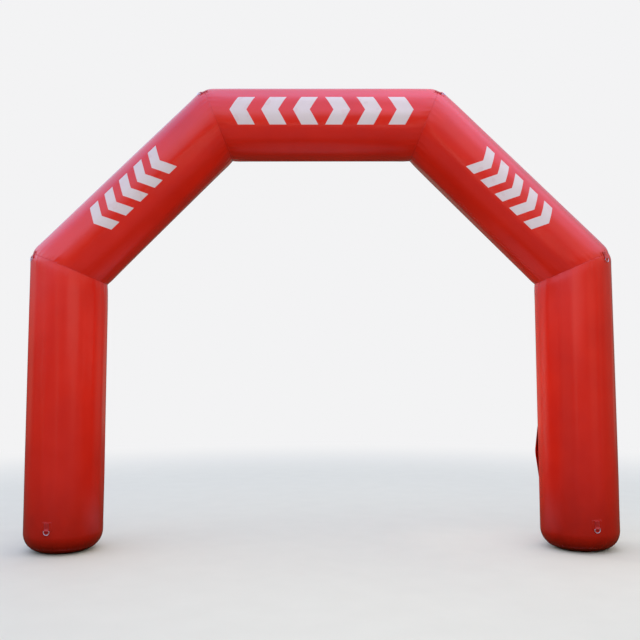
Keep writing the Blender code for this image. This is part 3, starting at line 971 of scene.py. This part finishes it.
def chevrons(size, mirrored):
    """Gives the function that draws a row of chevrons. With h the height from the print's centre and l the
    length along the tube, q = (|l| or l) + lean |h| is the same all along a chevron. Ink is where q is
    within half a stroke of a whole number of pitches, between the first and the last, and |h| is within
    the half height."""
    first, last = size["reach"]
    pitch, half_stroke = size["pitch"], size["stroke"] / 2
    lean = size["lean"] if mirrored else -size["lean"]

    def mask(tree, map_vector):
        split = add(tree, "SeparateXYZ", {0: map_vector})
        height = add(tree, "Math", {0: split["X"], 1: size["centre"]}, operation="SUBTRACT")[0]
        height = add(tree, "Math", {0: height}, operation="ABSOLUTE")[0]
        length = split["Y"]
        if mirrored:
            length = add(tree, "Math", {0: length}, operation="ABSOLUTE")[0]
        q = add(tree, "Math", {0: height, 1: lean, 2: length}, operation="MULTIPLY_ADD")[0]
        middle = add(tree, "Math", {0: q, 1: (first + last) / 2}, operation="SUBTRACT")[0]
        middle = add(tree, "Math", {0: middle}, operation="ABSOLUTE")[0]
        nearest = q
        for operation, number in (("SUBTRACT", first - pitch / 2), ("FLOORED_MODULO", pitch),
                                  ("SUBTRACT", pitch / 2), ("ABSOLUTE", 0.0)):
            nearest = add(tree, "Math", {0: nearest, 1: number}, operation=operation)[0]
        inked = 1.0
        for value, limit in ((nearest, half_stroke), (middle, (last - first) / 2 + half_stroke),
                             (height, size["half_height"])):
            edge = {"From Min": limit - INK_EDGE, "From Max": limit + INK_EDGE, "To Min": 1.0, "To Max": 0.0}
            near = add(tree, "MapRange", {"Value": value, **edge})[0]
            inked = add(tree, "Math", {0: inked, 1: near}, operation="MULTIPLY")[0]
        return inked

    return mask


put_on(panels["beam"], coated_cloth("vinyl_coated_polyester_beam_print", chevrons(BEAM_PRINT, True)))
shoulder_cloth = coated_cloth("vinyl_coated_polyester_shoulder_print", chevrons(SHOULDER_PRINT, False))
for word in SIDES:
    put_on(panels[f"shoulder_{word}"], shoulder_cloth)
print("print height on the beam:", 2 * BEAM_PRINT["half_height"], "m")

# %% [markdown]
# ## Webbing, thread and wire
# The loops are woven polyester webbing, dyed red: a satin, ribbed band. The thread is twisted polyester,
# a little deeper in colour than the cloth. The rings are steel wire with a thin coat of zinc, which is
# bright but slightly cloudy.

# %% Webbing, thread and wire
RIB_SPACING = 0.0016
# The deeper red is painted shade in the valleys between the ribs.
WEBBING_REDS = ("#a5140a", "#c41c0e")  # between the ribs and on them
THREAD_REDS = ("#b8190f", "#cf2114")
ZINC_GREYS = ("#d3d5d7", "#e6e7e8")


def webbing_finish():
    """Ribs: a wave on the band's map, slanted both ways from its middle as in a herringbone. The valleys
    between the ribs take the deeper red, a painted shade, and fine noise varies the tone.
    """
    finish, tree, shader, place = start_finish(
        "polyester_webbing", Roughness=0.42, IOR=1.5, Sheen_Weight=0.12, Sheen_Roughness=0.4)
    split = add(tree, "SeparateXYZ", {0: place["UV"]})
    folded = add(tree, "Math", {0: split["X"], 1: WEBBING_WIDTH / 8}, operation="PINGPONG")[0]
    slant = add(tree, "Math", {0: split["Y"], 1: folded}, operation="ADD")[0]
    turn = add(tree, "Math", {0: slant, 1: 2 * math.pi / RIB_SPACING}, operation="MULTIPLY")[0]
    rib = add(tree, "Math", {0: turn}, operation="SINE")[0]
    noise = add(tree, "TexNoise", {"Vector": place["Object"], "Scale": 220.0, "Detail": 2.0})["Fac"]
    # painted shade in the rib valleys, plus random tone from the noise
    shade = add(tree, "Math", {0: rib, 1: 0.25, 2: noise}, operation="MULTIPLY_ADD")[0]
    first, second = map(colour, WEBBING_REDS)
    mixed = add(tree, "Mix", {0: shade, 6: first, 7: second}, data_type="RGBA")[2]
    tree.links.new(mixed, shader.inputs["Base Color"])
    bump = add(tree, "Bump", {"Strength": 0.5, "Distance": 0.0003, "Height": rib})[0]
    tree.links.new(bump, shader.inputs["Normal"])
    return finish


def thread_finish():
    """Twist: fine noise in the colour, which is all that shows of it."""
    finish, tree, shader, place = start_finish("polyester_thread", Roughness=0.55, IOR=1.5, Sheen_Weight=0.2)
    noise = add(tree, "TexNoise", {"Vector": place["Object"], "Scale": 400.0})["Fac"]
    first, second = map(colour, THREAD_REDS)
    mixed = add(tree, "Mix", {0: noise, 6: first, 7: second}, data_type="RGBA")[2]
    tree.links.new(mixed, shader.inputs["Base Color"])
    return finish


def zinc_finish():
    """Cloudy zinc: noise moves the roughness, and a finer noise breaks the highlight."""
    finish, tree, shader, place = start_finish("zinc_plated_steel", Metallic=1.0)
    cloud = add(tree, "TexNoise", {"Vector": place["Object"], "Scale": 90.0, "Detail": 3.0})["Fac"]
    roughness = add(tree, "MapRange", {"Value": cloud, "To Min": 0.38, "To Max": 0.6})[0]
    tree.links.new(roughness, shader.inputs["Roughness"])
    first, second = map(colour, ZINC_GREYS)
    mixed = add(tree, "Mix", {0: cloud, 6: first, 7: second}, data_type="RGBA")[2]
    tree.links.new(mixed, shader.inputs["Base Color"])
    grain = add(tree, "TexNoise", {"Vector": place["Object"], "Scale": 900.0})["Fac"]
    bump = add(tree, "Bump", {"Strength": 0.15, "Distance": 0.0001, "Height": grain})[0]
    tree.links.new(bump, shader.inputs["Normal"])
    return finish


webbing, thread, zinc = webbing_finish(), thread_finish(), zinc_finish()
for pieces, finish in ((straps.values(), webbing), (stitches, thread), (rings.values(), zinc)):
    for piece in pieces:
        put_on(piece, finish)
print("finishes:", len(bpy.data.materials))

# %% [markdown]
# ## Floor and light
# The arch stands on a plain pale floor that fades into a pale backdrop. The light is soft. A cool dome
# stands over a dim wall with upright strip lamps, whose reflections run down the legs as faint streaks,
# and soft boxes in front, above and beside the arch fill it. A glossy surface asks two things of what is
# around it: how much soft light falls on it, and what it mirrors. A studio sets the two apart with white
# and black cards. The Light Path node does the same here: its Is Glossy Ray output is 1 where a ray comes
# from a mirrored surface, so the dome and the floor have a colour of their own for it. That keeps the
# highlights cool and pale while the cloth between them stays a deep red.

# %% Floor
BACKDROP = "#f3f3f4"
FLOOR_RADIUS = 16.0
FLOOR_DROP = 0.001  # below the feet, so that the two don't share a plane
FLOOR_RINGS, FLOOR_TURNS = 12, 96
FLOOR_PAINT = ("#dad9c4", "#e0dfca")
UNDER_ARCH = (0.0, 0.4, 0.0)
FLOOR_MIRRORED = ((0.08, 0.065, 0.02, 1), (0.44, 0.42, 0.38, 1))  # linear, away from the arch and under it
FLOOR_RANGES = {  # metres where each amount starts and where it is full, and how much it is there
    "before": (-0.3, -5.0, 0.75), "behind": (0.3, 7.0, 0.30),
    "below": (1.9, 0.5, 1.0), "far": (5.5, 13.0, 1.0)}


def floor_disc():
    """A disc from rings of points: radius = share x FLOOR_RADIUS."""
    turn = np.linspace(0, 2 * math.pi, FLOOR_TURNS, endpoint=False)[None, :]
    radius = np.linspace(0.02, 1, FLOOR_RINGS)[:, None] * FLOOR_RADIUS
    points = np.stack([radius * np.cos(turn), radius * np.sin(turn), 0 * radius * turn - FLOOR_DROP], axis=-1)
    faces = grid_faces(FLOOR_RINGS, FLOOR_TURNS, wrap=True).tolist() + [list(range(FLOOR_TURNS))[::-1]]
    shape = bpy.data.meshes.new("floor")
    shape.from_pydata(points.reshape(-1, 3).tolist(), [], faces)
    disc = bpy.data.objects.new("floor", shape)
    bpy.context.scene.collection.objects.link(disc)
    return disc


def floor_finish():
    """Pale paint under the arch that turns into the backdrop's own glow from 5.5 m to 13 m out. It throws
    back more soft light in front of the arch than behind it. Mirrored, it is dark but for the middle of the
    arch, which shows along the underside of the beam."""
    finish, tree, paint, place = start_finish("pale_floor_paint", Roughness=0.75, Specular_IOR_Level=0.15)
    noise = add(tree, "TexNoise", {"Vector": place["Object"], "Scale": 3.0, "Detail": 4.0})["Fac"]
    seen = add(tree, "LightPath")["Is Camera Ray"]
    first, second = map(colour, FLOOR_PAINT)
    pale = add(tree, "Mix", {0: noise, 6: first, 7: second}, data_type="RGBA")[2]
    depth = add(tree, "SeparateXYZ", {0: place["Object"]})["Y"]
    beside = add(tree, "VectorMath", {0: place["Object"], 1: UNDER_ARCH}, operation="DISTANCE")["Value"]
    away = add(tree, "VectorMath", {0: place["Object"]}, operation="LENGTH")["Value"]
    amount = {}
    for word, value in (("before", depth), ("behind", depth), ("below", beside), ("far", away)):
        start, full, most = FLOOR_RANGES[word]
        reach = {"Value": value, "From Min": start, "From Max": full, "To Max": most}
        amount[word] = add(tree, "MapRange", reach, **EASED)[0]
    both = add(tree, "Math", {0: amount["before"], 1: amount["behind"]}, operation="ADD")[0]
    mirrored = add(tree, "LightPath")["Is Glossy Ray"]
    dark, lit = FLOOR_MIRRORED
    mirror = add(tree, "Mix", {0: amount["below"], 6: dark, 7: lit}, data_type="RGBA")[2]
    thrown = add(tree, "Mix", {0: mirrored, 6: both, 7: mirror}, data_type="RGBA")[2]
    shown = add(tree, "Mix", {0: seen, 6: thrown, 7: pale}, data_type="RGBA")[2]
    tree.links.new(shown, paint.inputs["Base Color"])
    glow = add(tree, "Emission", {"Color": colour(BACKDROP)})[0]
    fade = add(tree, "Math", {0: amount["far"], 1: seen}, operation="MULTIPLY")[0]
    faded = add(tree, "MixShader", {0: fade, 1: paint.outputs[0], 2: glow})[0]
    output = next(part for part in tree.nodes if part.type == "OUTPUT_MATERIAL")
    tree.links.new(faded, output.inputs["Surface"])
    return finish


floor = floor_disc()
put_on(floor, floor_finish())
print("floor", FLOOR_RADIUS, "m")

# %% Sky and lamps
bpy.context.scene.view_settings.view_transform = "Standard"
WALL_GLOW = 0.12
WALL_TINT = (1.0, 0.98, 0.78)
STRIP_LAMPS = (  # degrees to the right of straight in front, width in degrees, brightness
    (-138, 14, 0.05), (-106, 10, 0.25), (-50, 8, 0.15), (-13, 6, 0.36), (30, 7, 0.36),
    (62, 7, 0.15), (96, 8, 0.1), (122, 9, 0.28), (160, 10, 0.3), (-165, 10, 0.3))
SKY_RANGES = {  # the part of a direction that each share reads, where it starts and where it is full
    "above": ("Z", 0.03, 0.42), "high": ("Z", 0.35, 0.85), "back": ("Y", 0.0, 0.75)}
SKY_TINTS = {  # linear, at the left and at the right: three that are mirrored, and the soft light's
    "low": ((1.60, 2.00, 2.90, 1), (0.75, 0.75, 0.65, 1)),
    "top": ((0.80, 1.10, 2.20, 1), (1.90, 2.20, 3.70, 1)),
    "far": ((0.90, 1.10, 1.55, 1), (0.45, 0.46, 0.60, 1)),
    "soft": ((0.84, 1.00, 1.52, 1), (1.12, 1.07, 1.15, 1))}
WARM_WHITE, WARM = (1.0, 0.95, 0.90), (1.0, 0.93, 0.86)
SOFT_BOXES = (  # name, place, what it aims at, width, height, watts, colour and spread in degrees
    ("front", (1.0, -6.0, 3.0), (0.3, 0, 2.6), 5.0, 1.5, 41, WARM_WHITE, 110),
    ("top", (2.0, -0.7, 7.4), (0.9, 0, 4.0), 3.0, 3.0, 46, WARM_WHITE, 180),
    ("inner_fill_right", (0.2, 1.1, 1.6), (2.4, 0, 1.6), 0.6, 2.0, 10, WARM, 90),
    ("inner_fill_left", (-0.4, -0.5, 2.2), (-2.4, 0, 2.2), 0.6, 1.0, 1.6, WARM, 90),
    ("outer_fill", (-5.6, -1.5, 2.9), (-2.8, 0, 2.8), 0.8, 3.0, 10, WARM, 110))


def sky():
    """The camera sees the backdrop. All else sees a dome, cooler on the left, that stands on a dim wall with
    upright strip lamps. A strip's brightness falls off as exp(-(turn / width)^2). The dome's soft light is
    the same all round but for its tint, and its mirrored light is brightest overhead."""
    world = bpy.data.worlds.new("sky")
    bpy.context.scene.world = world
    world.use_nodes = True
    tree = world.node_tree
    tree.nodes.clear()
    direction = add(tree, "TexCoord")["Generated"]
    split = add(tree, "SeparateXYZ", {0: direction})
    forward = add(tree, "Math", {0: split["Y"], 1: -1.0}, operation="MULTIPLY")[0]
    turn = add(tree, "Math", {0: split["X"], 1: forward}, operation="ARCTAN2")[0]
    strips = WALL_GLOW
    for degrees, width, brightness in STRIP_LAMPS:
        off = add(tree, "Math", {0: turn, 1: math.radians(degrees)}, operation="SUBTRACT")[0]
        off = add(tree, "Math", {0: off, 1: math.pi, 2: -math.pi}, operation="WRAP")[0]
        off = add(tree, "Math", {0: off, 1: 1 / math.radians(width)}, operation="MULTIPLY")[0]
        square = add(tree, "Math", {0: off, 1: 2.0}, operation="POWER")[0]
        fall = add(tree, "Math", {0: math.exp(-1), 1: square}, operation="POWER")[0]
        strips = add(tree, "Math", {0: fall, 1: brightness, 2: strips}, operation="MULTIPLY_ADD")[0]
    share, tint = {}, {}
    for word, (axis, start, full) in SKY_RANGES.items():
        reach = {"Value": split[axis], "From Min": start, "From Max": full}
        share[word] = add(tree, "MapRange", reach, **EASED)[0]
    right = add(tree, "MapRange", {"Value": split["X"], "From Min": -0.7, "From Max": 0.7})[0]
    for word, (at_left, at_right) in SKY_TINTS.items():
        tint[word] = add(tree, "Mix", {0: right, 6: at_left, 7: at_right}, data_type="RGBA")[2]
    near = add(tree, "Mix", {0: share["high"], 6: tint["low"], 7: tint["top"]}, data_type="RGBA")[2]
    cool = add(tree, "Mix", {0: share["back"], 6: near, 7: tint["far"]}, data_type="RGBA")[2]
    mirrored = add(tree, "LightPath")["Is Glossy Ray"]
    dome = add(tree, "Mix", {0: mirrored, 6: tint["soft"], 7: cool}, data_type="RGBA")[2]
    wall = add(tree, "VectorMath", {0: strips, 1: WALL_TINT}, operation="MULTIPLY")[0]
    glow = add(tree, "Mix", {0: share["above"], 6: wall, 7: dome}, data_type="RGBA")[2]
    seen = add(tree, "LightPath")["Is Camera Ray"]
    shown = add(tree, "Mix", {0: seen, 6: glow, 7: colour(BACKDROP)}, data_type="RGBA")[2]
    background = add(tree, "Background", {"Color": shown, "Strength": 1.0})
    add(tree, "OutputWorld", {"Surface": background[0]})


def soft_box(name, place, aim, width, height, watts, tint, spread):
    data = bpy.data.lights.new(name, "AREA")
    data.shape = "RECTANGLE"
    data.size, data.size_y = width, height
    data.energy = watts
    data.color = tint
    data.spread = math.radians(spread)
    lamp = bpy.data.objects.new(name, data)
    turned = (Vector(aim) - Vector(place)).to_track_quat("-Z", "Y").to_matrix().to_4x4()
    lamp.matrix_world = Matrix.Translation(place) @ turned
    lamp.visible_camera = False
    lamp.visible_glossy = False
    bpy.context.scene.collection.objects.link(lamp)


sky()
for box in SOFT_BOXES:
    soft_box(*box)
print("lamps:", len(bpy.data.lights))
